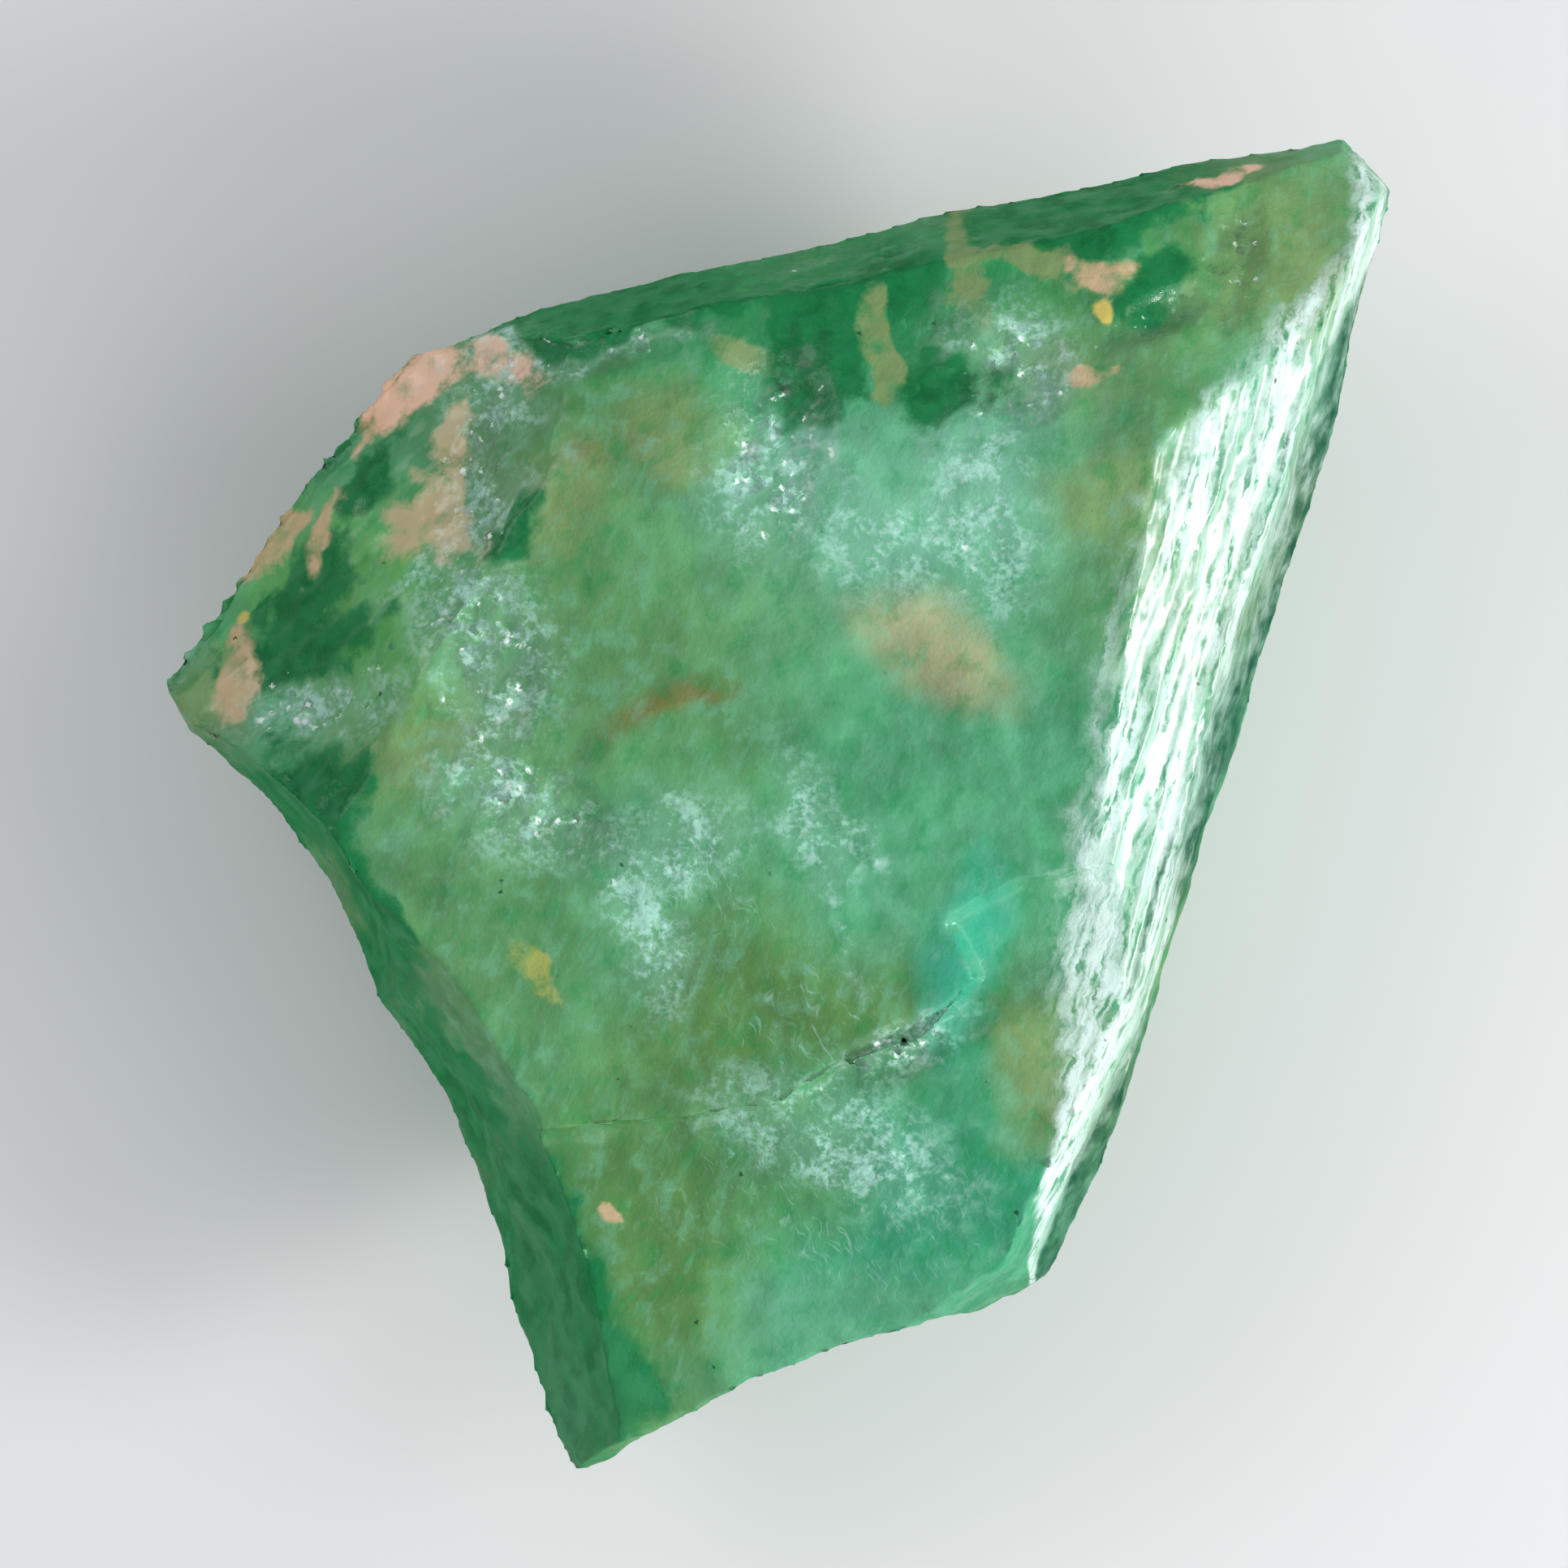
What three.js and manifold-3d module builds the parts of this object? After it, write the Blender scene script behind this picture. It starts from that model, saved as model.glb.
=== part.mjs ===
// A rough emerald: one broken piece of a green beryl crystal, lying on the small flat break of its back.
// Millimetres, +Z up. The origin is under the middle of the stone, on the surface that it rests on.
// The stone is cut out of a block the way a crystal comes to its shape: flat faces are cleaved off one by
// one, growth lines are cut along the prism face, shell-like fractures are scooped out of the edges, one thin
// flake is lifted off along a ledge, and then the whole skin is roughened a little.

import * as THREE from "three";
import { ImprovedNoise } from "three/addons/math/ImprovedNoise.js";
import { mergeVertices } from "three/addons/utils/BufferGeometryUtils.js";
import Module from "manifold-3d";

const wasm = await Module();
wasm.setup();

// Driving sizes
const BLOCK = 40; // the uncut block and every cutting block, well past the stone
const BALL_SIDES = 40; // sides round each scooping ball
const GRAIN = 0.65; // the longest edge of its skin
const WELD = 1e-4; // points nearer than this are one
const FLAT_FOOT = 0.5; // the height over which the roughness fades out towards the flat rest face
const ROUGHNESS = [
  { by: 0.11, over: 2.6 },
  { by: 0.045, over: 1.0 },
]; // how far the skin wanders, and over what distance
// Growth lines: shallow grooves side by side along the prism face. The way they run is seen from above, and
// the first lies that far from the crest beside the broad face.
const GROWTH = { way: [0.27, 0.963, 0], count: 5, apart: 0.3, wide: 0.22, deep: 0.05, first: 0.15 };
const HEART = new THREE.Vector3(0, 0.4, 2.2); // a point inside the stone, behind every face

// The flat faces, each through three points of the stone that were read off it, in millimetres
const FACES = {
  // the side that faces up
  broad_face: [[3.12, 2.14, 4.75], [2.58, -2.2, 4.37], [-3.0, 1.5, 4.05]],
  upper_face: [[-2.5, 3.0, 4.22], [3.4, 3.0, 4.85], [0, 5.0, 3.95]],
  corner_face: [[3.89, 3.66, 4.47], [5.4, 5.0, 3.6], [3.9, 5.1, 3.95]],
  prism_face: [[3.12, 2.14, 4.75], [2.58, -2.2, 4.37], [4.25, 1.41, 3.95]],
  left_slope: [[-3.3, 4.1, 3.0], [-5.55, 1.05, 2.3], [-3.0, 1.8, 4.0]],
  // the steep sides that make its outline
  top_bevel: [[-2.6, 4.34, 3.1], [3.94, 5.75, 3.1], [0.33, 4.56, 4.1]],
  corner_bevel: [[4.95, 6.05, 3.0], [5.62, 5.3, 3.0], [5.0, 5.7, 3.7]],
  upper_left_bevel: [[-2.6, 4.38, 3.0], [-3.3, 4.1, 2.9], [-2.9, 3.9, 3.7]],
  right_bevel: [[5.53, 5.3, 2.8], [3.5, -1.37, 2.7], [4.2, 1.6, 3.85]],
  right_shin: [[3.6, -1.2, 2.7], [3.17, -2.77, 2.6], [3.1, -1.8, 3.9]],
  right_foot: [[3.17, -2.77, 2.6], [2.34, -4.32, 2.6], [2.36, -3.2, 3.9]],
  bottom_corner: [[2.34, -4.32, 2.6], [1.84, -4.62, 2.6], [1.9, -4.2, 3.6]],
  bottom_side: [[2.2, -4.45, 3.0], [-1.85, -6.0, 2.6], [0.1, -5.1, 3.5]],
  left_side: [[-5.43, 0.55, 2.1], [-1.98, -6.02, 2.1], [-3.5, -2.7, 3.0]],
  // the side that faces down
  rest_face: [[-1, 0, 0], [1, 0, 0], [0, 1, 0]],
  under_top: [[-2.6, 4.34, 3.1], [3.94, 5.75, 3.1], [0.3, 2.5, 0]],
  under_corner: [[4.9, 6.05, 3.0], [5.65, 5.3, 3.0], [1.7, 2.4, 0]],
  under_right: [[5.53, 5.3, 2.8], [3.5, -1.37, 2.7], [2.1, 0.4, 0]],
  under_right_foot: [[3.17, -2.77, 2.5], [2.34, -4.32, 2.5], [1.3, -1.3, 0]],
  under_bottom: [[2.34, -4.32, 2.6], [-1.85, -6.0, 2.2], [0.1, -2.0, 0]],
  under_left: [[-5.43, 0.55, 2.1], [-1.98, -6.02, 2.1], [-1.6, -0.8, 0]],
  under_left_slope: [[-5.58, 1.1, 2.2], [-3.3, 4.1, 2.9], [-1.4, 1.9, 0]],
};

// The ledge across the lower half, from left to right, and the plane that the flake below it was lifted to
const LEDGE = [
  [-4.0, -3.0], [-1.85, -2.95], [-0.76, -2.88], [0.0, -2.7], [0.4, -2.4], [0.76, -2.22],
  [1.27, -2.08], [1.71, -1.57], [1.42, -1.06], [2.0, -0.77], [4.5, -0.3],
];
const FLAKE = [[-2.4, -2.8, 3.66], [2.4, -1.2, 4.26], [0.2, -4.8, 3.4]];

// The shell-like fractures. Each is part of a ball of that radius that leaves the stone's skin at a point,
// and there it looks out towards a compass angle (from +X, anticlockwise) and up or down by the rise.
const SCOOPS = {
  tip_shell: { at: [-4.32, -0.4, 2.0], towards: 218, rise: 20, radius: 3.6 },
  side_shell: { at: [-2.95, -2.9, 2.0], towards: 205, rise: 17, radius: 4.7 },
  foot_shell: { at: [-2.27, -4.87, 2.2], towards: 196, rise: 33, radius: 9.5 },
  under_left_shell: { at: [-3.0, 1.6, 1.0], towards: 140, rise: -52, radius: 4.0 },
  under_right_shell: { at: [2.5, 1.0, 0.9], towards: 350, rise: -52, radius: 6.0 },
  under_foot_shell: { at: [-0.7, -3.5, 1.1], towards: 255, rise: -50, radius: 5.0 },
  bottom_shell: { at: [-0.1, -5.05, 3.3], towards: 292, rise: -8, radius: 5.0 },
  right_shell: { at: [3.72, -0.3, 2.8], towards: 343, rise: 4, radius: 14.0 },
  corner_shell: { at: [4.86, 3.4, 3.0], towards: 344, rise: 8, radius: 20.0 },
};

function solidFrom(geometry) {
  const bare = geometry.clone();
  bare.deleteAttribute("normal");
  bare.deleteAttribute("uv");
  const merged = mergeVertices(bare, WELD);
  return new wasm.Manifold(
    new wasm.Mesh({
      numProp: 3,
      vertProperties: merged.attributes.position.array,
      triVerts: new Uint32Array(merged.index.array),
    }),
  );
}

// The plane through three points, with its normal turned away from the stone's heart
function planeThrough(points) {
  const [a, b, c] = points.map((p) => new THREE.Vector3(...p));
  const normal = b.clone().sub(a).cross(c.clone().sub(a)).normalize();
  if (normal.dot(HEART.clone().sub(a)) > 0) normal.negate();
  return { normal, point: a };
}

// All that lies outside one face, as a block that stands on it
function outside(points) {
  const { normal, point } = planeThrough(points);
  const waste = new THREE.BoxGeometry(2 * BLOCK, 2 * BLOCK, BLOCK);
  waste.translate(0, 0, BLOCK / 2);
  waste.applyQuaternion(new THREE.Quaternion().setFromUnitVectors(new THREE.Vector3(0, 0, 1), normal));
  waste.translate(...point.toArray());
  return solidFrom(waste);
}

function cleave(solid) {
  return Object.values(FACES).reduce((stone, face) => stone.subtract(outside(face)), solid);
}

function ball({ at, towards, rise, radius }) {
  const azimuth = THREE.MathUtils.degToRad(towards);
  const elevation = THREE.MathUtils.degToRad(rise);
  const out = new THREE.Vector3(
    Math.cos(azimuth) * Math.cos(elevation),
    Math.sin(azimuth) * Math.cos(elevation),
    Math.sin(elevation),
  );
  const centre = new THREE.Vector3(...at).addScaledVector(out, radius);
  const sphere = new THREE.SphereGeometry(radius, BALL_SIDES, BALL_SIDES / 2);
  sphere.translate(...centre.toArray());
  return solidFrom(sphere);
}

function scoop(solid) {
  return Object.values(SCOOPS).reduce((stone, shell) => stone.subtract(ball(shell)), solid);
}

// The flake: an upright prism between its plane and the sky, with the ledge as its upper edge in plan
function flake() {
  const below = [[BLOCK, LEDGE.at(-1)[1]], [BLOCK, -BLOCK], [-BLOCK, -BLOCK], [-BLOCK, LEDGE[0][1]]];
  const shape = new THREE.Shape([...LEDGE, ...below].map((p) => new THREE.Vector2(...p)));
  const prism = new THREE.ExtrudeGeometry(shape, { depth: BLOCK, bevelEnabled: false });
  const { normal, point } = planeThrough(FLAKE);
  const corner = prism.getAttribute("position");
  for (let i = 0; i < corner.count; i++) {
    const across = (corner.getX(i) - point.x) * normal.x + (corner.getY(i) - point.y) * normal.y;
    corner.setZ(i, corner.getZ(i) + point.z - across / normal.z);
  }
  return solidFrom(prism);
}

function geometryFrom(solid) {
  const mesh = solid.getMesh();
  const geometry = new THREE.BufferGeometry();
  geometry.setAttribute("position", new THREE.BufferAttribute(mesh.vertProperties, 3));
  geometry.setIndex(new THREE.BufferAttribute(mesh.triVerts, 1));
  return geometry;
}

// The growth lines: flat three-sided bars laid along the prism face, each with one edge sunk into it
function growthLines(solid) {
  const { normal, point } = planeThrough(FACES.prism_face);
  const along = new THREE.Vector3(...GROWTH.way).projectOnPlane(normal).normalize();
  const across = along.clone().cross(normal);
  const frame = new THREE.Matrix4().makeBasis(across, normal, along.clone().negate());
  const { apart, wide, deep, first } = GROWTH;
  const points = [[0, -deep], [wide, deep], [-wide, deep]].map((p) => new THREE.Vector2(...p));
  const section = new THREE.Shape(points);
  let grooved = solid;
  for (let i = 0; i < GROWTH.count; i++) {
    const bar = new THREE.ExtrudeGeometry(section, { depth: BLOCK, bevelEnabled: false });
    bar.translate(first + i * apart, 0, -BLOCK / 2);
    bar.applyMatrix4(frame).translate(...point.toArray());
    grooved = grooved.subtract(solidFrom(bar));
  }
  return grooved;
}

// Smooth wandering between -1 and 1 along each axis, with bumps about one unit apart
const noise = new ImprovedNoise();
const NOISE_ROWS = [11.3, 47.7, 83.1]; // far-apart rows of the noise, one for each axis
function wander(p) {
  return new THREE.Vector3(...NOISE_ROWS.map((row) => noise.noise(p.x + row, p.y - row, p.z + 2 * row)));
}

// Where a point of the skin ends up: it wanders a little, but less and less towards the flat rest face
function roughen(p) {
  const moved = new THREE.Vector3();
  for (const { by, over } of ROUGHNESS) moved.addScaledVector(wander(p.clone().divideScalar(over)), by);
  return p.clone().addScaledVector(moved, THREE.MathUtils.smoothstep(p.z, 0, FLAT_FOOT));
}

// Halves every edge that is longer than the grain, over and over, so that the skin can be roughened. An edge
// has one middle, which both of its triangles share, so the skin stays closed.
function refine(geometry) {
  const { index } = geometry;
  const points = geometry.getAttribute("position");
  const corners = [];
  for (let i = 0; i < points.count; i++) corners.push(new THREE.Vector3().fromBufferAttribute(points, i));
  const middles = new Map();
  const middle = (i, j) => {
    const key = i < j ? `${i} ${j}` : `${j} ${i}`;
    if (!middles.has(key)) middles.set(key, corners.push(corners[i].clone().lerp(corners[j], 0.5)) - 1);
    return middles.get(key);
  };
  const long = (i, j) => corners[i].distanceTo(corners[j]);
  const open = [];
  for (let i = 0; i < index.count; i += 3) open.push([index.getX(i), index.getX(i + 1), index.getX(i + 2)]);
  const done = [];
  while (open.length) {
    let [a, b, c] = open.pop();
    // turn the triangle until its longest edge runs from a to b
    if (long(b, c) > long(a, b) && long(b, c) >= long(c, a)) [a, b, c] = [b, c, a];
    else if (long(c, a) > long(a, b)) [a, b, c] = [c, a, b];
    if (long(a, b) <= GRAIN) done.push(a, b, c);
    else open.push([a, middle(a, b), c], [middle(a, b), b, c]);
  }
  return { corners, done };
}

// The finished skin: refined, roughened and set down with the origin under its middle
function weather(geometry) {
  const { corners, done } = refine(geometry);
  const skin = new THREE.BufferGeometry().setFromPoints(corners.map(roughen));
  skin.setIndex(done);
  skin.computeBoundingBox();
  const middle = skin.boundingBox.getCenter(new THREE.Vector3());
  skin.translate(-middle.x, -middle.y, -skin.boundingBox.min.z);
  skin.computeVertexNormals();
  return skin;
}

const block = solidFrom(new THREE.BoxGeometry(BLOCK, BLOCK, BLOCK));
const stone = weather(geometryFrom(scoop(growthLines(cleave(block))).subtract(flake())));

const emerald = new THREE.Mesh(
  stone,
  new THREE.MeshStandardMaterial({ color: 0x4f9a6a, roughness: 0.35, metalness: 0 }),
);
emerald.name = "emerald";

const part = new THREE.Group();
part.add(emerald);

export default part;
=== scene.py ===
# %% [markdown]
# # A rough emerald
# The stone is one broken piece of green beryl, 12 mm long, lying on a small flat break. It is cloudy in the
# middle and clear and deep green along its broken edges, and one side still has the crystal's growth lines.
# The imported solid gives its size, its faces, its scooped breaks and its ledge. This script grows a fine
# skin over that solid and gives the skin the look of beryl.

# %% Open the frame
import math

import bpy
import numpy as np
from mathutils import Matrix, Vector, noise


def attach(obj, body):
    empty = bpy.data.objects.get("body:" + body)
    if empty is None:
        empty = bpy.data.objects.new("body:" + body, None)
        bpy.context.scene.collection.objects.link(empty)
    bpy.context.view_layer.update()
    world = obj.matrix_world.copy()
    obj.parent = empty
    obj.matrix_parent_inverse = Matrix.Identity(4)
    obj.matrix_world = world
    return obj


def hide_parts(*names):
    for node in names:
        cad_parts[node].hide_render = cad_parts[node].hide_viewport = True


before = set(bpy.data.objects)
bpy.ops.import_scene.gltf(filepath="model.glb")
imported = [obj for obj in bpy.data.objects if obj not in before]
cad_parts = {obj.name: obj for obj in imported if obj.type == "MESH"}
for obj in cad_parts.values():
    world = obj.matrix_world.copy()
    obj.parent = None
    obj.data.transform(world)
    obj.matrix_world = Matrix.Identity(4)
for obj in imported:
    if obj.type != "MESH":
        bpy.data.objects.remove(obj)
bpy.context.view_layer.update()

MM = 0.001

# %% [markdown]
# ## The camera
# The stone was looked at from straight above, from far off, so there is almost no perspective. A long lens
# gives that. The view is a square of 14.03 mm, and its middle lies a little above the middle of the stone.

# %% Set up the camera
VIEW_WIDTH = 14.03 * MM
VIEW_MIDDLE = Vector((0.08 * MM, 0.20 * MM, 2.8 * MM))
LENS = 200.0
FILM = 36.0

lens = bpy.data.cameras.new("camera")
lens.lens = LENS
lens.sensor_width = FILM
lens.sensor_height = FILM
lens.clip_start = 5 * MM
camera = bpy.data.objects.new("camera", lens)
bpy.context.scene.collection.objects.link(camera)
camera.location = VIEW_MIDDLE + Vector((0, 0, VIEW_WIDTH * LENS / FILM))
bpy.context.scene.camera = camera
print("the camera looks down from", round(camera.location.z / MM, 1), "mm")

# %% [markdown]
# ## The skin of the stone
# The solid has flat facets with sides of up to 0.65 mm. A real break is rough far below that, so the facets
# are only the start. A copy of the solid is merged into one closed sheet and covered with a fine, even net
# of faces by the voxel remesher, which also rounds the sharp edges a little, as handling does. The remesher
# can't go below 0.1 mm, so the stone is worked on at a hundred times its size and brought back at the end.

# %% Copy the solid and give it a fine skin
ENLARGED = 100
NET = 0.058 * MM

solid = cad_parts["emerald"]
bpy.ops.object.select_all(action="DESELECT")
stone = bpy.data.objects.new("emerald_stone", solid.data.copy())
bpy.context.scene.collection.objects.link(stone)
bpy.context.view_layer.objects.active = stone
stone.select_set(True)


def resize(factor):
    bpy.ops.object.mode_set(mode="EDIT")
    bpy.ops.mesh.select_all(action="SELECT")
    bpy.ops.transform.resize(value=(factor, factor, factor), center_override=(0, 0, 0))
    bpy.ops.object.mode_set(mode="OBJECT")


def finish_with(kind, **settings):
    modifier = stone.modifiers.new(kind.lower(), kind)
    for name, value in settings.items():
        setattr(modifier, name, value)
    bpy.ops.object.modifier_apply(modifier=modifier.name)


bpy.ops.object.mode_set(mode="EDIT")
bpy.ops.mesh.select_all(action="SELECT")
bpy.ops.mesh.remove_doubles(threshold=0.0001 * MM)
bpy.ops.object.mode_set(mode="OBJECT")
resize(ENLARGED)
finish_with("REMESH", mode="VOXEL", voxel_size=NET * ENLARGED)
print("the skin has", len(stone.data.polygons), "faces")

# %% [markdown]
# ## Where the relief goes
# Each kind of relief belongs to a part of the stone: growth lines to the prism side, small chips to the
# crests where the breaks meet, scratches to the face below the ledge. A vertex group says how strongly each
# point of the skin takes part. The places are soft ellipses in millimetres, seen from above.

# %% Places of the crests, the scratches and the shining band
CRESTS = [  # x, y, half length, half width, turn in degrees
    (-1.85, 4.05, 1.1, 0.22, 8),
    (0.45, 4.85, 0.7, 0.22, 14),
    (-4.1, 0.95, 0.75, 0.34, 12),
    (-2.75, 2.9, 0.35, 1.0, -10),
    (-2.6, 1.4, 0.45, 0.9, 20),
    (4.05, 4.85, 0.25, 0.6, -10),
    (3.4, 4.35, 0.6, 0.16, 25),
    (2.1, 3.8, 0.5, 0.4, 0),
    (0.0, 3.2, 0.45, 0.85, 0),
    (-2.2, 0.05, 0.8, 0.35, -25),
    (1.1, -2.15, 0.8, 0.22, 25),
]
SCRATCHED = [  # x, y, half length, half width, turn
    (0.5, -3.5, 1.5, 0.8, -10),
    (-0.8, -0.9, 0.8, 0.7, 30),
    (0.3, -1.9, 0.8, 0.5, 0),
]
BAND = [  # y, x and half width of the shining band along the prism side
    (-4.2, 2.32, 0.02),
    (-3.24, 2.56, 0.12),
    (-2.15, 2.89, 0.28),
    (-1.35, 3.07, 0.44),
    (-0.4, 3.16, 0.38),
    (0.7, 3.38, 0.40),
    (2.0, 3.81, 0.50),
    (3.15, 4.18, 0.46),
    (4.17, 4.69, 0.27),
    (5.04, 5.34, 0.14),
]
print(len(CRESTS), "chipped places and", len(SCRATCHED), "scratched ones")

# %% [markdown]
# ## Weighing the points
# The skin has almost a hundred thousand points, so they are read into numpy arrays once, and each rule is
# worked out for all of them together. A vertex group takes one weight for a list of points, so the weights
# are rounded to tenths and filled in step by step.

# %% Ways to weigh the skin
def skin_arrays():
    count = len(stone.data.vertices)
    places = np.empty(count * 3, np.float32)
    facing = np.empty(count * 3, np.float32)
    stone.data.vertices.foreach_get("co", places)
    stone.data.vertices.foreach_get("normal", facing)
    return places.reshape(-1, 3) / (ENLARGED * MM), facing.reshape(-1, 3)


def ramp(values, low, high):
    return np.clip((values - low) / (high - low), 0, 1)


def in_ellipses(places, ellipses):
    weight = np.zeros(len(places))
    for x, y, long, wide, turn in ellipses:
        c, s = math.cos(math.radians(turn)), math.sin(math.radians(turn))
        dx, dy = places[:, 0] - x, places[:, 1] - y
        away = np.hypot((dx * c + dy * s) / long, (dy * c - dx * s) / wide)
        weight = np.maximum(weight, ramp(away, 1.25, 0.6))
    return weight


def weigh(name, weights, steps=10):
    group = stone.vertex_groups.new(name=name)
    level = np.rint(weights * steps).astype(int)
    for step in range(1, steps + 1):
        group.add(np.nonzero(level == step)[0].tolist(), step / steps, "REPLACE")
    print(f"{name}: {(level > 0).mean():.0%} of the skin")


# %% Weigh the skin by place and by the way it faces
PRISM_OUT = np.array((0.511, -0.138, 0.848))  # the way that the prism side faces
SLOPE_OUT = np.array((-0.51, 0.28, 0.81))  # the way that the long break on the left faces

places, facing = skin_arrays()
off_ground = ramp(places[:, 2], 0.05, 0.4) * ramp(places[:, 1], -6.4, -4.8)  # and less on the thin foot
upper = ramp(facing[:, 2], 0.25, 0.6)
on_prism = ramp(facing @ PRISM_OUT, 0.90, 0.965) * ramp(places[:, 0], 1.2, 2.0)
on_slope = ramp(facing @ SLOPE_OUT, 0.85, 0.95) * ramp(places[:, 0], -1.5, -2.3)
band_y, band_x, band_half = np.array(BAND).T
from_band = places[:, 0] - np.interp(places[:, 1], band_y, band_x)
from_band /= np.interp(places[:, 1], band_y, band_half)
weigh("broken skin", off_ground * (1 - 0.6 * on_prism))
weigh("prism side", on_prism)
weigh("left slope", on_slope)
weigh("crests", in_ellipses(places, CRESTS) * upper)
weigh("scratched", in_ellipses(places, SCRATCHED) * upper)

# %% [markdown]
# ## Carving the relief
# A Displace modifier moves the skin by a texture. Here the texture only ever pushes inwards, so the stone
# never grows past the solid. A pattern that runs one way, such as growth lines, is a plain noise that is
# stretched: the texture is read in the space of a helper empty, which is long one way and narrow the other.

# %% A way to carve
GROWTH_TURN = -15.7  # degrees from +Y to the way that the growth lines run, seen from above


def carve(name, group, deep, grain, stretch=None, turn=0.0, basis="BLENDER_ORIGINAL", detail=1, contrast=1):
    pattern = bpy.data.textures.new(name, "CLOUDS")
    pattern.noise_basis = basis
    pattern.noise_depth = detail
    pattern.noise_scale = grain * MM * ENLARGED
    pattern.contrast = contrast
    settings = {"texture_coords": "LOCAL"}
    helper = None
    if stretch:
        helper = bpy.data.objects.new(name, None)
        bpy.context.scene.collection.objects.link(helper)
        helper.scale = (1, stretch, stretch)
        helper.rotation_euler = (0, 0, math.radians(turn))
        bpy.context.view_layer.update()
        settings = {"texture_coords": "OBJECT", "texture_coords_object": helper}
    settings.update(texture=pattern, vertex_group=group)
    finish_with("DISPLACE", strength=deep * MM * ENLARGED, mid_level=1.0, **settings)
    if helper:
        bpy.data.objects.remove(helper)
    bpy.data.textures.remove(pattern)


# %% Carve the breaks, the growth lines, the chips and the scratches
carve("waves", "broken skin", deep=0.07, grain=0.55, detail=2)
carve("hackles", "broken skin", deep=0.035, grain=0.16, detail=2)
carve("growth steps", "prism side", deep=0.07, grain=0.20, stretch=9, turn=GROWTH_TURN, contrast=1.6)
carve("growth lines", "prism side", deep=0.035, grain=0.09, stretch=10, turn=GROWTH_TURN)
carve("ridges", "left slope", deep=0.09, grain=0.16, stretch=4, turn=-50, contrast=1.5)
carve("chips", "crests", deep=0.08, grain=0.16, basis="VORONOI_F1")
carve("splinters", "crests", deep=0.05, grain=0.10, basis="VORONOI_F2_F1")
carve("scratches", "scratched", deep=0.04, grain=0.07, stretch=6, turn=28)
resize(1 / ENLARGED)
bpy.ops.object.shade_smooth()
print("carved; the stone is", [round(v / MM, 2) for v in stone.dimensions], "mm")

# %% [markdown]
# ## Wiring materials
# A material is a net of nodes, and sums are easier to read as sums. A Wire holds one output of a node and
# knows how to add, take away and multiply, each time with a new Math node. Its ramp climbs softly from 0 to
# 1 between two values. A Part is one node and hands out its outputs as wires. A Board holds the net of one
# material and adds every other kind of node.

# %% Wires and boards
class Wire:
    def __init__(self, board, socket):
        self.board, self.socket = board, socket

    def math(self, operation, *values, clamp=False):
        settings = {"operation": operation, "use_clamp": clamp}
        return self.board.add("ShaderNodeMath", settings, dict(enumerate((self, *values)))).out()

    def __add__(self, other):
        return self.math("ADD", other)

    def __sub__(self, other):
        return self.math("SUBTRACT", other)

    def __rsub__(self, other):
        return (self * -1.0) + other

    def __mul__(self, other):
        return self.math("MULTIPLY", other)

    __radd__ = __add__
    __rmul__ = __mul__

    def clipped(self):
        return self.math("ADD", 0.0, clamp=True)

    def ramp(self, low, high):
        settings = {"interpolation_type": "SMOOTHSTEP"}
        values = {"Value": self, "From Min": low, "From Max": high}
        return self.board.add("ShaderNodeMapRange", settings, values).out("Result")


class Part:
    def __init__(self, board, node):
        self.board, self.node = board, node

    def out(self, name=0):
        return Wire(self.board, self.node.outputs[name])


class Board:
    def __init__(self, name):
        self.material = bpy.data.materials.new(name)
        self.material.use_nodes = True
        self.tree = self.material.node_tree
        self.tree.nodes.clear()

    def add(self, kind, settings=None, sockets=None):
        node = self.tree.nodes.new(kind)
        for name, value in (settings or {}).items():
            setattr(node, name, value)
        for name, value in (sockets or {}).items():
            if isinstance(value, Wire):
                self.tree.links.new(value.socket, node.inputs[name])
            else:
                node.inputs[name].default_value = value
        return Part(self, node)

    def noise(self, where, per_mm, detail=2.0, rough=0.5):
        sockets = {"Vector": where, "Scale": per_mm, "Detail": detail, "Roughness": rough}
        return self.add("ShaderNodeTexNoise", None, sockets)

    def tint(self, share, below, above):
        mix = self.add("ShaderNodeMix", {"data_type": "RGBA"})
        factor, colours = mix.node.inputs[0], mix.node.inputs[6:8]  # 1 to 5 are for numbers and vectors
        for socket, value in zip((factor, *colours), (share, below, above)):
            if isinstance(value, Wire):
                self.tree.links.new(value.socket, socket)
            else:
                socket.default_value = (*value, 1)
        return mix.out(2)

    def scaled(self, where, factor):
        return self.add("ShaderNodeVectorMath", {"operation": "SCALE"}, {0: where, "Scale": factor}).out()

    def vector(self, operation, *values):
        sockets = dict(enumerate(values))
        return self.add("ShaderNodeVectorMath", {"operation": operation}, sockets).out()

    def turned(self, where, size, turn):
        sockets = {"Vector": where, "Rotation": (0, 0, math.radians(turn)), "Scale": size}
        return self.add("ShaderNodeMapping", {"vector_type": "TEXTURE"}, sockets).out()
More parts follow.
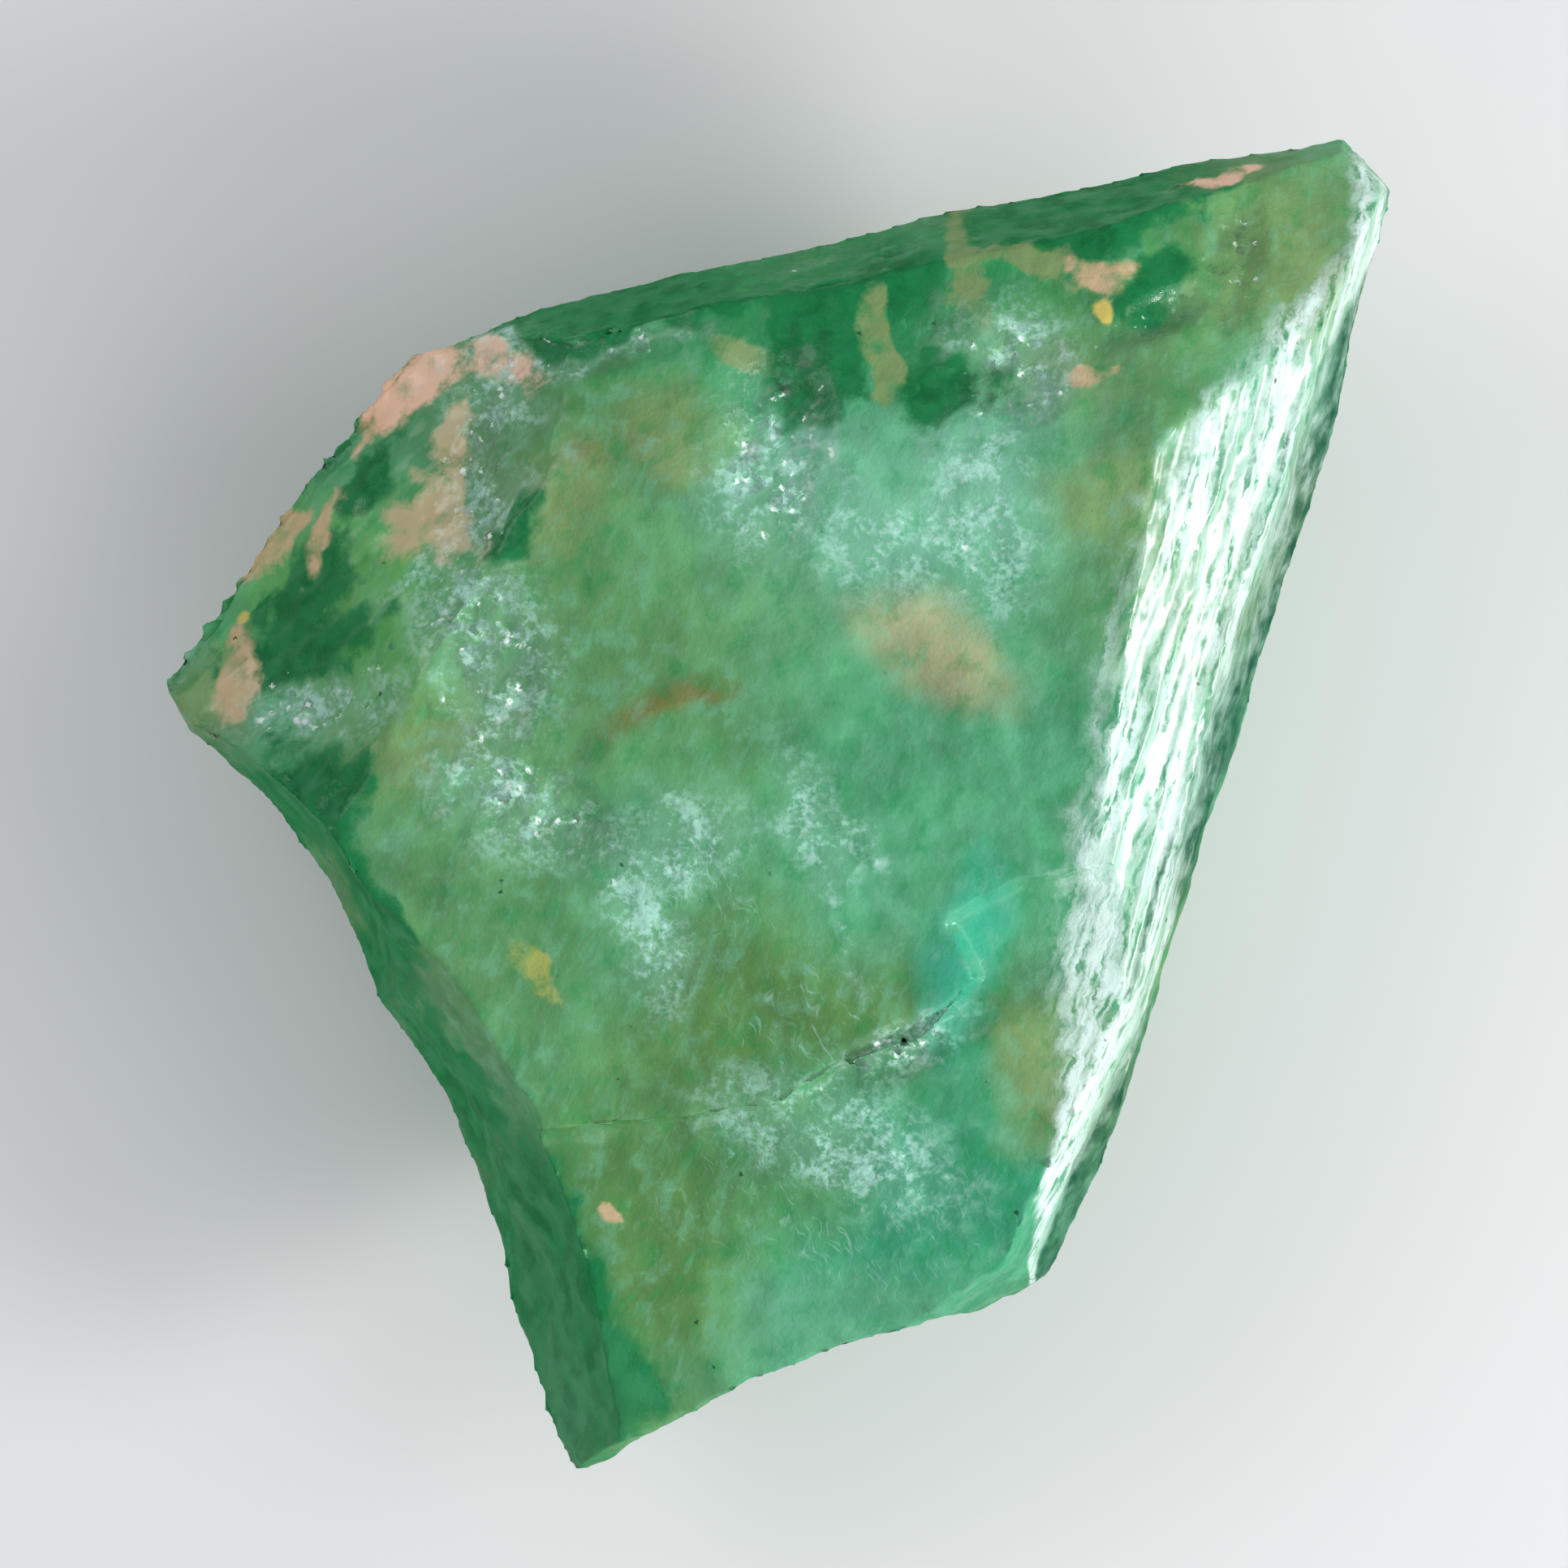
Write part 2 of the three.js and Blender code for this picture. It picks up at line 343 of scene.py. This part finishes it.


# %% [markdown]
# ## What is inside the stone
# The look of rough emerald comes from what it holds: clear deep green windows, milky clouds, white veils of
# tiny fluid bubbles, and iron stains in the cracks. These are the colours of all of them, and of a painted
# shade and two painted highlights, as linear red, green and blue. They are kept in one place, because a
# colour only looks right beside its neighbours.

# %% Palette
MILKY = (0.085, 0.37, 0.18)
SAGE = (0.115, 0.30, 0.105)
OLIVE = (0.105, 0.25, 0.065)
MOSS = (0.13, 0.42, 0.10)
AQUA = (0.17, 0.50, 0.30)
TEAL = (0.03, 0.30, 0.15)
DEEP = (0.0, 0.27, 0.07)
BOTTLE = (0.0, 0.145, 0.032)
SHADED = (0.003, 0.07, 0.035)
TURQUOISE = (0.05, 0.45, 0.28)
FROST = (0.52, 0.87, 0.76)
BUFF = (0.64, 0.46, 0.26)
PINK = (0.97, 0.60, 0.42)
TAN = (0.22, 0.33, 0.12)
SAND = (0.62, 0.50, 0.28)
RUST = (0.22, 0.15, 0.03)
GOLD = (0.75, 0.60, 0.14)
STRAW = (0.36, 0.42, 0.10)
GLARE = (0.82, 1.0, 0.95)
GLINT = (0.9, 1.0, 0.96)
SPECK = (0.01, 0.04, 0.015)
print(f"a window throws back {max(DEEP):.0%} of green light and the milky middle {max(MILKY):.0%}")

# %% [markdown]
# ## Where it lies
# A noise alone would put the clouds and stains anywhere, so they are dabbed on as with soft brushes. Each
# dab is an ellipse seen from above, with its middle, half its length and half its width in millimetres, and
# the degrees that it is turned anticlockwise from +X. The clouds are painted in this order, each over the
# ones before it.

# %% Places of the clouds, windows, stains and veils
CLOUDS = [  # colour, strength, x, y, half length, half width, turn
    (AQUA, 0.8, 1.05, 2.5, 1.6, 1.0, 15),
    (MILKY, 0.9, 1.7, 0.3, 1.8, 1.6, 0),
    (SAGE, 0.9, -1.8, 1.1, 1.9, 1.3, 25),
    (SAGE, 0.8, -2.6, -1.2, 1.3, 1.6, 25),
    (OLIVE, 0.9, 0.1, -1.95, 1.5, 0.65, 12),
    (SAGE, 0.9, 3.6, 4.0, 1.5, 0.55, 60),
    (TEAL, 0.9, 1.4, -3.5, 1.5, 1.2, 0),
    (OLIVE, 0.6, -0.3, -3.4, 0.9, 0.6, 0),
    (OLIVE, 0.95, -1.1, -4.0, 0.8, 1.3, 10),
    (AQUA, 0.4, 0.6, -4.6, 1.2, 0.35, 12),
    (TAN, 0.8, 4.5, 4.9, 0.7, 0.8, -40),
    (TAN, 0.7, 2.85, 2.75, 0.5, 0.36, -30),
    (TURQUOISE, 0.95, 1.68, -1.42, 0.32, 0.85, -12),
    (TAN, 0.8, 2.25, -2.3, 0.35, 0.6, 0),
    (BUFF, 0.55, 1.4, 1.3, 0.75, 0.38, -25),
    (RUST, 0.7, -0.9, 0.83, 0.5, 0.14, 12),
    (TAN, 0.8, -1.9, 2.7, 0.5, 0.4, 0),
    (TAN, 0.9, -0.9, 3.3, 0.45, 0.35, 0),
    (TAN, 0.7, -3.2, 0.55, 0.7, 0.35, 30),
    (TAN, 0.7, 2.3, 4.1, 0.9, 0.55, 10),
    (TAN, 0.8, -5.2, 0.95, 0.35, 0.5, 0),
    (RUST, 0.4, -1.7, 2.95, 0.22, 0.12, -20),
    (BOTTLE, 0.9, -2.05, -4.6, 0.55, 1.5, 14),
    (MOSS, 0.9, -3.9, 1.9, 1.1, 1.0, 20),
    (DEEP, 0.7, 1.2, 4.6, 2.6, 0.8, 12),
]
WINDOWS = [  # x, y, half length, half width, turn
    (0.33, 4.0, 0.45, 0.75, 10),
    (1.0, 4.75, 0.6, 0.55, 0),
    (1.45, 3.65, 0.5, 0.28, -20),
    (2.8, 5.3, 1.3, 0.45, 12),
    (3.4, 4.55, 0.5, 0.22, 20),
    (-1.3, 4.45, 1.4, 0.28, 12),
    (-4.25, 2.0, 0.65, 0.33, 50),
    (-4.35, 1.45, 0.9, 0.3, 20),
    (-3.6, 3.0, 0.16, 0.5, -35),
    (-2.4, 2.5, 0.34, 0.2, 30),
    (-4.25, 0.1, 0.55, 0.5, -45),
    (-3.7, -1.0, 0.25, 1.0, 25),
    (-2.9, -2.6, 0.25, 1.0, 22),
    (-2.15, -4.2, 0.5, 1.3, 12),
    (-1.75, -5.2, 0.65, 0.8, 30),
]
STAINS = [  # colour, x, y, half length, half width, turn
    (PINK, -3.35, 3.80, 0.22, 0.55, -35),
    (PINK, -2.6, 3.9, 0.38, 0.2, -10),
    (SAND, -3.15, 2.5, 0.42, 0.38, 0),
    (SAND, -2.95, 3.1, 0.16, 0.4, -10),
    (BUFF, -4.1, 2.5, 0.15, 0.38, -30),
    (BUFF, -4.6, 2.35, 0.10, 0.32, -38),
    (BUFF, -4.95, 1.15, 0.16, 0.4, -18),
    (TAN, 1.72, 4.85, 0.14, 0.6, 0),
    (TAN, 2.2, 4.8, 0.42, 0.2, -20),
    (BUFF, 2.87, 4.72, 0.32, 0.13, -15),
    (BUFF, 2.72, 3.84, 0.3, 0.10, 15),
    (TAN, 0.9, 4.1, 0.16, 0.5, 15),
    (TAN, -0.3, 4.05, 0.3, 0.2, 0),
    (GOLD, -4.83, 1.7, 0.10, 0.08, 0),
    (GOLD, 2.8, 4.42, 0.10, 0.08, 0),
    (STRAW, -2.3, -1.58, 0.30, 0.14, -30),
    (PINK, 3.95, 5.65, 0.35, 0.10, 12),
    (BUFF, -1.45, -3.6, 0.09, 0.06, 0),
]
VEILS = [  # x, y, half length, half width, turn
    (0.0, 3.15, 0.5, 0.95, -10),
    (1.85, 2.6, 0.4, 0.8, 0),
    (1.3, 2.3, 0.9, 0.5, 0),
    (-2.35, 0.10, 0.8, 0.42, -40),
    (-1.1, -1.1, 0.3, 0.6, 30),
    (-0.85, -0.35, 0.6, 0.3, 20),
    (0.3, -0.15, 0.3, 0.5, 15),
    (-4.2, 0.97, 0.7, 0.35, 12),
    (0.6, -3.0, 1.1, 0.4, -20),
    (-2.6, 1.4, 0.5, 0.9, 20),
    (-2.6, 2.7, 0.4, 0.3, 0),
    (-2.0, 4.1, 1.1, 0.2, 8),
    (-2.65, 3.55, 0.35, 0.3, 0),
    (-3.3, 2.1, 0.5, 0.12, 35),
    (2.0, 3.85, 0.5, 0.45, 0),
    (1.1, -2.15, 0.7, 0.2, 25),
    (0.4, -0.6, 0.95, 0.06, -70),
    (0.75, -0.1, 0.45, 0.05, -58),
]
print(len(CLOUDS), "clouds,", len(WINDOWS), "windows,", len(STAINS), "stains and", len(VEILS), "veils")

# %% [markdown]
# ## Dabbing on the points of the skin
# The points of the skin lie about 0.06 mm apart, which is close enough to hold the dabs. Every point keeps,
# in an attribute, how deep inside a dab it lies: 1 in the middle, 0 on the rim and less outside. The points
# are pushed about by a noise before they are asked, so that the dabs come out ragged. Numpy asks all of
# them at once, and only the noise has to go point by point. Each noise is read at a shift or a scale of its
# own, so that no two of them rise and fall together.

# %% Ways to dab
SKIN_HEIGHT = 4.0  # mm, about the height of the broad face, where the dabs have their middles
REACH = 5.0  # mm that a dab reaches up and down from there
EDGE = 0.5  # how far to either side of its rim a cloud or a veil fades, as a share of its half width


def wander(points, per_mm, shift, octaves=1):
    total = np.zeros(len(points))
    for octave in range(octaves):
        spots = points * per_mm * 2 ** octave + shift
        total += np.array([noise.noise(Vector(spot)) for spot in spots.tolist()]) / 2 ** octave
    return total


def pushed(points, per_mm, far):
    return points + far * np.stack([wander(points, per_mm, shift) for shift in (3.1, 41.7, 87.3)], axis=1)


def depth_in(points, x, y, long, wide, turn):
    c, s = math.cos(math.radians(turn)), math.sin(math.radians(turn))
    dx, dy, dz = points[:, 0] - x, points[:, 1] - y, points[:, 2] - SKIN_HEIGHT
    along, across = (dx * c + dy * s) / long, (dy * c - dx * s) / wide
    return 1 - np.sqrt(along ** 2 + across ** 2 + (dz / REACH) ** 2)


def keep(name, kind, values):
    attribute = stone.data.attributes.new(name, kind, "POINT")
    field = {"FLOAT": "value", "FLOAT_COLOR": "color"}[kind]
    attribute.data.foreach_set(field, values.astype(np.float32).ravel())


def as_colours(rgb):
    return np.hstack([rgb, np.ones((len(rgb), 1))])


def mixed(share, below, above):
    share = share[:, None]
    return np.array(below) * (1 - share) + np.array(above) * share


# %% Paint the clouds and the stains
ragged = pushed(pushed(places, 1.1, 0.30), 3.5, 0.10)
body = mixed(ramp(wander(ragged, 0.55, 7.7), -0.3, 0.3), SAGE, MILKY)
for colour, strength, *where in CLOUDS:
    body = mixed(strength * ramp(depth_in(ragged, *where), -EDGE, EDGE), body, colour)
uneven = 1 + 0.28 * wander(ragged, 1.7, 55.1, 2)
keep("body colour", "FLOAT_COLOR", as_colours(body * uneven[:, None]))

stain, stain_colour = np.full(len(places), -1.0), np.zeros((len(places), 3)) + BUFF
for colour, *where in STAINS:
    depth = depth_in(ragged, *where)
    stain_colour[depth > stain] = colour
    stain = np.maximum(stain, depth)
keep("stain", "FLOAT", stain)
keep("stain colour", "FLOAT_COLOR", as_colours(stain_colour))
print(f"the clouds are painted, and stains cover {(stain > 0).mean():.0%} of the skin")

# %% [markdown]
# ## Windows, veils and the hidden sides
# Nothing is known of the sides that the camera can't see, so there the windows and the veils come from a
# wide noise. Steep faces get less clear glass and less coat than flat ones: seen from above they mirror the
# pale table, and a grey haze would hide the pure deep green that broken edges of emerald have.

# %% Place the windows and the veils
hidden = ramp(facing[:, 2], 0.2, -0.1)
wide_noise = wander(ragged, 0.8, 13.9)
window = np.maximum.reduce([depth_in(ragged, *where) for where in WINDOWS])
window = np.maximum(window, (wide_noise * 2 - 0.25) * hidden - (1 - hidden))
veil = np.maximum.reduce([depth_in(ragged, *where) for where in VEILS])
veil = np.maximum(veil, (-wide_noise * 2 - 0.7) * hidden - (1 - hidden))
keep("window", "FLOAT", window)
keep("veil", "FLOAT", ramp(veil, -EDGE, EDGE))
print(f"windows cover {(window > 0).mean():.0%} and veils {(veil > 0).mean():.0%} of the skin")

# %% How clear and how glassy each face is
CLEAR_FLAT, CLEAR_STEEP = 0.30, 0.07
COAT_FLAT, COAT_STEEP = 0.50, 0.10

steep = ramp(np.abs(facing[:, 2]), 0.7, 0.3)
keep("clear share", "FLOAT", CLEAR_FLAT + (CLEAR_STEEP - CLEAR_FLAT) * steep)
keep("shine", "FLOAT", COAT_FLAT + (COAT_STEEP - COAT_FLAT) * steep)
print(f"{(steep > 0.5).mean():.0%} of the skin is steep")

# %% [markdown]
# ## Weights for the small things
# The other attributes steer what is too small to dab. Patches and fluid are two noises, one for ragged
# edges and one for clumps of bubbles. Glitter goes where the stone is chipped and hatching where it is
# scratched. The band is 1 in the middle of the bright strip of the prism side, where a highlight is
# painted, and falls off to both sides. Beyond its outer edge, faces that turn to the right get a painted
# shade. The stone's underside has no band.

# %% Keep the weights for the small things
keep("patch", "FLOAT", wander(places, 5.0, 21.3, 2))
keep("fluid", "FLOAT", wander(ragged, 4.5, 33.9, 2))
keep("glitter", "FLOAT", in_ellipses(places, CRESTS) * upper)
keep("hatch", "FLOAT", in_ellipses(places, SCRATCHED) * upper)
keep("band", "FLOAT", 1 - np.abs(from_band) - 3 * hidden)
# painted shade: faces beyond the band's outer edge that turn to the right are to be painted dark
keep("shade outside the band", "FLOAT", ramp(from_band, 0.9, 1.5) * ramp(facing[:, 0], 0.3, 0.6) * (1 - hidden))
print("the skin keeps", len(stone.data.attributes), "attributes")

# %% [markdown]
# ## The beryl material
# The material reads what the dabs left on the skin and breaks it up with noises finer than the net of
# faces. Adding a noise to a depth and then cutting it off with a short ramp gives the crumbled edge of a
# stain. The crystal grew along the prism side, so one noise is stretched that way and streaks the whole
# stone.

# %% Read the dabs and break up their edges
CRUMBS_PER_MM = 16.0
STREAK_SIZE = (0.08, 0.45, 0.09)  # mm, how wide, long and deep a streak is

beryl = Board("emerald_beryl")
object_place = beryl.add("ShaderNodeTexCoord").out("Object")
place = beryl.scaled(object_place, 1 / MM)


def kept(name, output="Fac"):
    return beryl.add("ShaderNodeAttribute", {"attribute_name": name}).out(output)


patch = kept("patch")
crumb = beryl.noise(place, CRUMBS_PER_MM, 3.0, 0.6).out("Fac") - 0.5
broken = patch * 0.7 + crumb * 0.9
window = (kept("window") + broken * 0.7).ramp(-0.22, 0.30)
stain = (kept("stain") + broken * 0.7).ramp(-0.28, 0.34) * (broken + 1.0).clipped()

lengthwise = beryl.turned(place, STREAK_SIZE, GROWTH_TURN)
wavy = beryl.vector("ADD", lengthwise, beryl.scaled((1.0, 0.3, 0.5), patch * 0.6 + crumb * 0.9))
streak = beryl.noise(wavy, 1.0, 2.0, 0.6).out("Fac")
sheaf = beryl.noise(wavy, 0.28, 1.0).out("Fac")
print("the dabs are read, with", len(beryl.tree.nodes), "nodes so far")

# %% [markdown]
# ## The body colour
# Beryl is never one flat green: it is paler where it is full of bubbles and deeper where it is clear. So
# the painted colour is made paler and deeper by turns, and deep green in the windows. The stains come last.
# Iron fills the cracks from outside, and a stained window is no longer clear.

# %% Mix the body colour
body = kept("body colour", "Color")
body = beryl.tint(broken.ramp(0.0, 0.6) * 0.40, body, AQUA)
body = beryl.tint(broken.ramp(0.0, -0.6) * 0.42, body, DEEP)
body = beryl.tint(streak.ramp(0.5, 0.72) * 0.25, body, AQUA)
body = beryl.tint(window * 0.92, body, DEEP)
body = beryl.tint(window * broken.ramp(0.2, -0.4) * 0.6, body, BOTTLE)
body = beryl.tint(stain * 0.95, body, kept("stain colour", "Color"))
window = (window - stain).clipped()
print("the body colour brings it to", len(beryl.tree.nodes), "nodes")

# %% [markdown]
# ## Veils, scratches and glints
# A veil is a healed crack full of fluid bubbles. It is a white haze that breaks up into crumbs, so the haze
# is multiplied by a fine noise. Scratches are a noise again, stretched and a little bent. A glint is one
# small fresh face that catches the light. A cell texture cuts the skin into such faces and gives each one a
# random colour. The red part of it is the face's chance: only the few that draw a high number light up, and
# the weights let them do so on the crests and in veils. Each glint is a painted highlight, painted
# near-white in the colour, and its tilted normal catches the lamps as well.

# %% Veils and scratches
SCRATCH_SIZE = (0.04, 0.22, 0.2)  # mm, how wide, long and deep a scratch is
SCRATCH_TURN = 26

fluid = kept("fluid") * 0.55 + crumb * 1.8
veil = kept("veil") * (fluid.ramp(-0.15, 0.55) * 0.85 + 0.15) * (1 - window * 0.9)
bent = beryl.vector("ADD", place, beryl.scaled((1.0, 0.3, 0.0), patch * 0.12))
scratch_noise = beryl.noise(beryl.turned(bent, SCRATCH_SIZE, SCRATCH_TURN), 1.0, 2.0, 0.6)
scratch = scratch_noise.out("Fac").ramp(0.56, 0.72) * kept("hatch")
white = (veil * 0.76 + scratch * 0.25).clipped()
body = beryl.tint(white, body, FROST)
print("the veils and scratches bring it to", len(beryl.tree.nodes), "nodes")

# %% Glints
CELLS_PER_MM = 12.0

stirred = beryl.vector("ADD", place, beryl.scaled((0.8, -0.6, 0.5), crumb * 0.15))
cells = beryl.add("ShaderNodeTexVoronoi", None, {"Vector": stirred, "Scale": CELLS_PER_MM})
chance = beryl.add("ShaderNodeSeparateColor", None, {0: cells.out("Color")})
glitter = (kept("glitter") + kept("veil") * 0.35) * fluid.ramp(-0.15, 0.2)
spark = (chance.out(0) + glitter * 0.22 - 1.0).ramp(0.0, 0.10) * cells.out("Distance").ramp(0.5, 0.2)
# painted highlight: the glint cells are painted near-white
body = beryl.tint(spark, body, GLINT)
window = (window - white - spark).clipped()
print("the glints bring it to", len(beryl.tree.nodes), "nodes")

# %% [markdown]
# ## Growth lines
# The prism side is the last of the crystal's own faces. It grew in fine steps, and they mirror the light in
# bright streaks. A mirror alone would only shine towards one side, so the streaks are also painted a paler
# colour as a painted highlight, stronger in some sheaves than in others, with thin teal lines between them.
# Beyond the band's outer edge the colour is painted dark, as a painted shade.

# %% Growth lines on the prism side
prism = (kept("band") + broken * 0.5).ramp(-0.95, 0.30)
bright = prism * (sheaf.ramp(0.32, 0.58) * 0.6 + 0.4)
# painted highlight: the bright streaks of the band are painted pale
body = beryl.tint(bright * streak.ramp(0.26, 0.58) * 0.85, body, GLARE)
body = beryl.tint(prism * streak.ramp(0.44, 0.32) * 0.5, body, TEAL)
# painted shade: beyond the band the colour is painted dark
body = beryl.tint(kept("shade outside the band") * (0.75 - broken * 0.5).clipped(), body, SHADED)
window = (window - prism).clipped()
print("the growth lines bring it to", len(beryl.tree.nodes), "nodes")

# %% [markdown]
# ## Dark specks
# Here and there sits a grain of dark mica. The same cells serve again, this time with the green part of
# their random colour: four in a thousand hold a speck, and the distance from the middle of the cell makes
# it round.

# %% Dark specks
SPECK_CHANCE = 0.004

speck = (chance.out(1) - (1 - SPECK_CHANCE)).ramp(0.0, 0.001) * cells.out("Distance").ramp(0.35, 0.2)
body = beryl.tint(speck * 0.85, body, SPECK)
print("the specks bring it to", len(beryl.tree.nodes), "nodes")

# %% [markdown]
# ## Relief too fine for the net
# Crumbs, growth steps and scratches of a few hundredths of a millimetre go into a Bump node. Each glint is
# a face of its own, so its normal is tilted its own way, by the random colour of its cell.

# %% Relief too fine for the net of faces
RELIEF_DEEP = 0.025 * MM

relief = crumb * 0.9 + streak * prism * 1.6 - scratch * 0.3
fine = beryl.add("ShaderNodeBump", None, {"Height": relief, "Strength": 0.5, "Distance": RELIEF_DEEP})
tilt = beryl.vector("SUBTRACT", cells.out("Color"), (0.5, 0.5, 0.5))
glinting = beryl.vector("NORMALIZE", beryl.vector("ADD", fine.out(), beryl.scaled(tilt, glitter * 0.9)))
print("one unit of relief is", round(RELIEF_DEEP / MM, 3), "mm")

# %% [markdown]
# ## The two finishes of beryl
# Where beryl is clear, light goes into it, bends and is slowly swallowed, most of all its red part: that is
# glass with a green absorption inside. Where it is cloudy, light is thrown back by what it meets just below
# the skin: that is a plain colour, almost without a gloss of its own, under a thin glassy coat. The coat is
# strongest on small fresh faces. The windows say how much of the clear glass shows.

# %% The cloudy finish and the clear one
BERYL_IOR = 1.577
SWALLOWING = 500.0  # how fast the colour deepens with the way through the stone, per metre

fresh = spark + glitter * 0.6 + bright * 0.9 + veil * 0.3 + broken * 0.3
cloudy = beryl.add("ShaderNodeBsdfPrincipled", None, {
    "Base Color": body,
    "Roughness": (0.5 - glitter * 0.2 + crumb * 0.4).clipped(),
    "IOR": BERYL_IOR,
    "Specular IOR Level": 0.02,
    "Coat Weight": (fresh + kept("shine") * (1 - window * 0.6)).clipped(),
    "Coat Roughness": 0.22,
    "Coat IOR": BERYL_IOR,
    "Normal": glinting,
})
clear = beryl.add("ShaderNodeBsdfPrincipled", None, {
    "Base Color": (0.75, 1.0, 0.85, 1),
    "Roughness": 0.12,
    "IOR": BERYL_IOR,
    "Specular IOR Level": 0.03,
    "Transmission Weight": 1.0,
    "Normal": fine.out(),
})
inside = {"Color": (0.02, 0.86, 0.55, 1), "Density": SWALLOWING}
swallowed = beryl.add("ShaderNodeVolumeAbsorption", None, inside)
print("both finishes have an IOR of", BERYL_IOR)

# %% Join the finishes
glass_share = window * kept("clear share")
both = beryl.add("ShaderNodeMixShader", None, {0: glass_share, 1: cloudy.out(), 2: clear.out()})
beryl.add("ShaderNodeOutputMaterial", None, {"Surface": both.out(), "Volume": swallowed.out()})
stone.data.materials.clear()
stone.data.materials.append(beryl.material)
print("the beryl has", len(beryl.tree.nodes), "nodes")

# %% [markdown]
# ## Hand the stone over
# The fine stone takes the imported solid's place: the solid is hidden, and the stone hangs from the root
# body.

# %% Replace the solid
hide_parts("emerald")
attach(stone, "root")
print("the stone has", len(stone.data.polygons), "faces and stands for the solid")

# %% [markdown]
# ## The table
# The stone lies on a plain pale sheet. The sheet is set a hair lower, so that the two don't share a plane,
# and it is wide enough to fill the view from above.

# %% Ground
GROUND_SIZE = 0.6
GROUND_DROP = 0.002 * MM

bpy.ops.object.select_all(action="DESELECT")
bpy.ops.mesh.primitive_plane_add(size=GROUND_SIZE, location=(0, 0, -GROUND_DROP))
ground = bpy.context.object
ground.name = "ground"
paper = Board("pale_paper")
sheet = paper.add("ShaderNodeBsdfPrincipled", None, {"Base Color": (0.78, 0.78, 0.77, 1), "Roughness": 0.9})
paper.add("ShaderNodeOutputMaterial", None, {"Surface": sheet.out()})
ground.data.materials.append(paper.material)
print("the sheet is", GROUND_SIZE, "m wide")

# %% [markdown]
# ## The light
# The light is soft and low. The brightest box lies on the right, just where the prism side mirrors it up to
# the camera, and three dimmer ones fill in from the right, the left and the front. Nothing bright hangs
# overhead, because the broad face would mirror it as a grey haze. The rest comes evenly from a pale sky.

# %% Light boxes
def light_box(name, azimuth, from_top, away, size, power):
    lamp = bpy.data.lights.new(name, "AREA")
    lamp.shape = "RECTANGLE"
    lamp.size, lamp.size_y = size[0] * MM, size[1] * MM
    lamp.energy = power
    box = bpy.data.objects.new(name, lamp)
    bpy.context.scene.collection.objects.link(box)
    a, t = math.radians(azimuth), math.radians(from_top)
    out = Vector((math.sin(t) * math.cos(a), math.sin(t) * math.sin(a), math.cos(t)))
    box.location = out * away * MM
    box.rotation_euler = out.to_track_quat("Z", "Y").to_euler()
    print(f"{name}: {power} W, {azimuth} degrees round from +X and {from_top} down from the top")


light_box("prism light", azimuth=-15, from_top=64, away=90, size=(30, 18), power=0.052)
light_box("right light", azimuth=5, from_top=42, away=100, size=(50, 40), power=0.014)
light_box("left light", azimuth=150, from_top=42, away=100, size=(50, 40), power=0.014)
light_box("front light", azimuth=290, from_top=58, away=100, size=(70, 50), power=0.016)

# %% Sky
world = bpy.data.worlds.new("studio")
bpy.context.scene.world = world
world.use_nodes = True
world.node_tree.nodes["Background"].inputs["Color"].default_value = (0.9, 0.95, 1.0, 1)
world.node_tree.nodes["Background"].inputs["Strength"].default_value = 0.50
bpy.context.scene.view_settings.view_transform = "Standard"
print("the sky is lit")
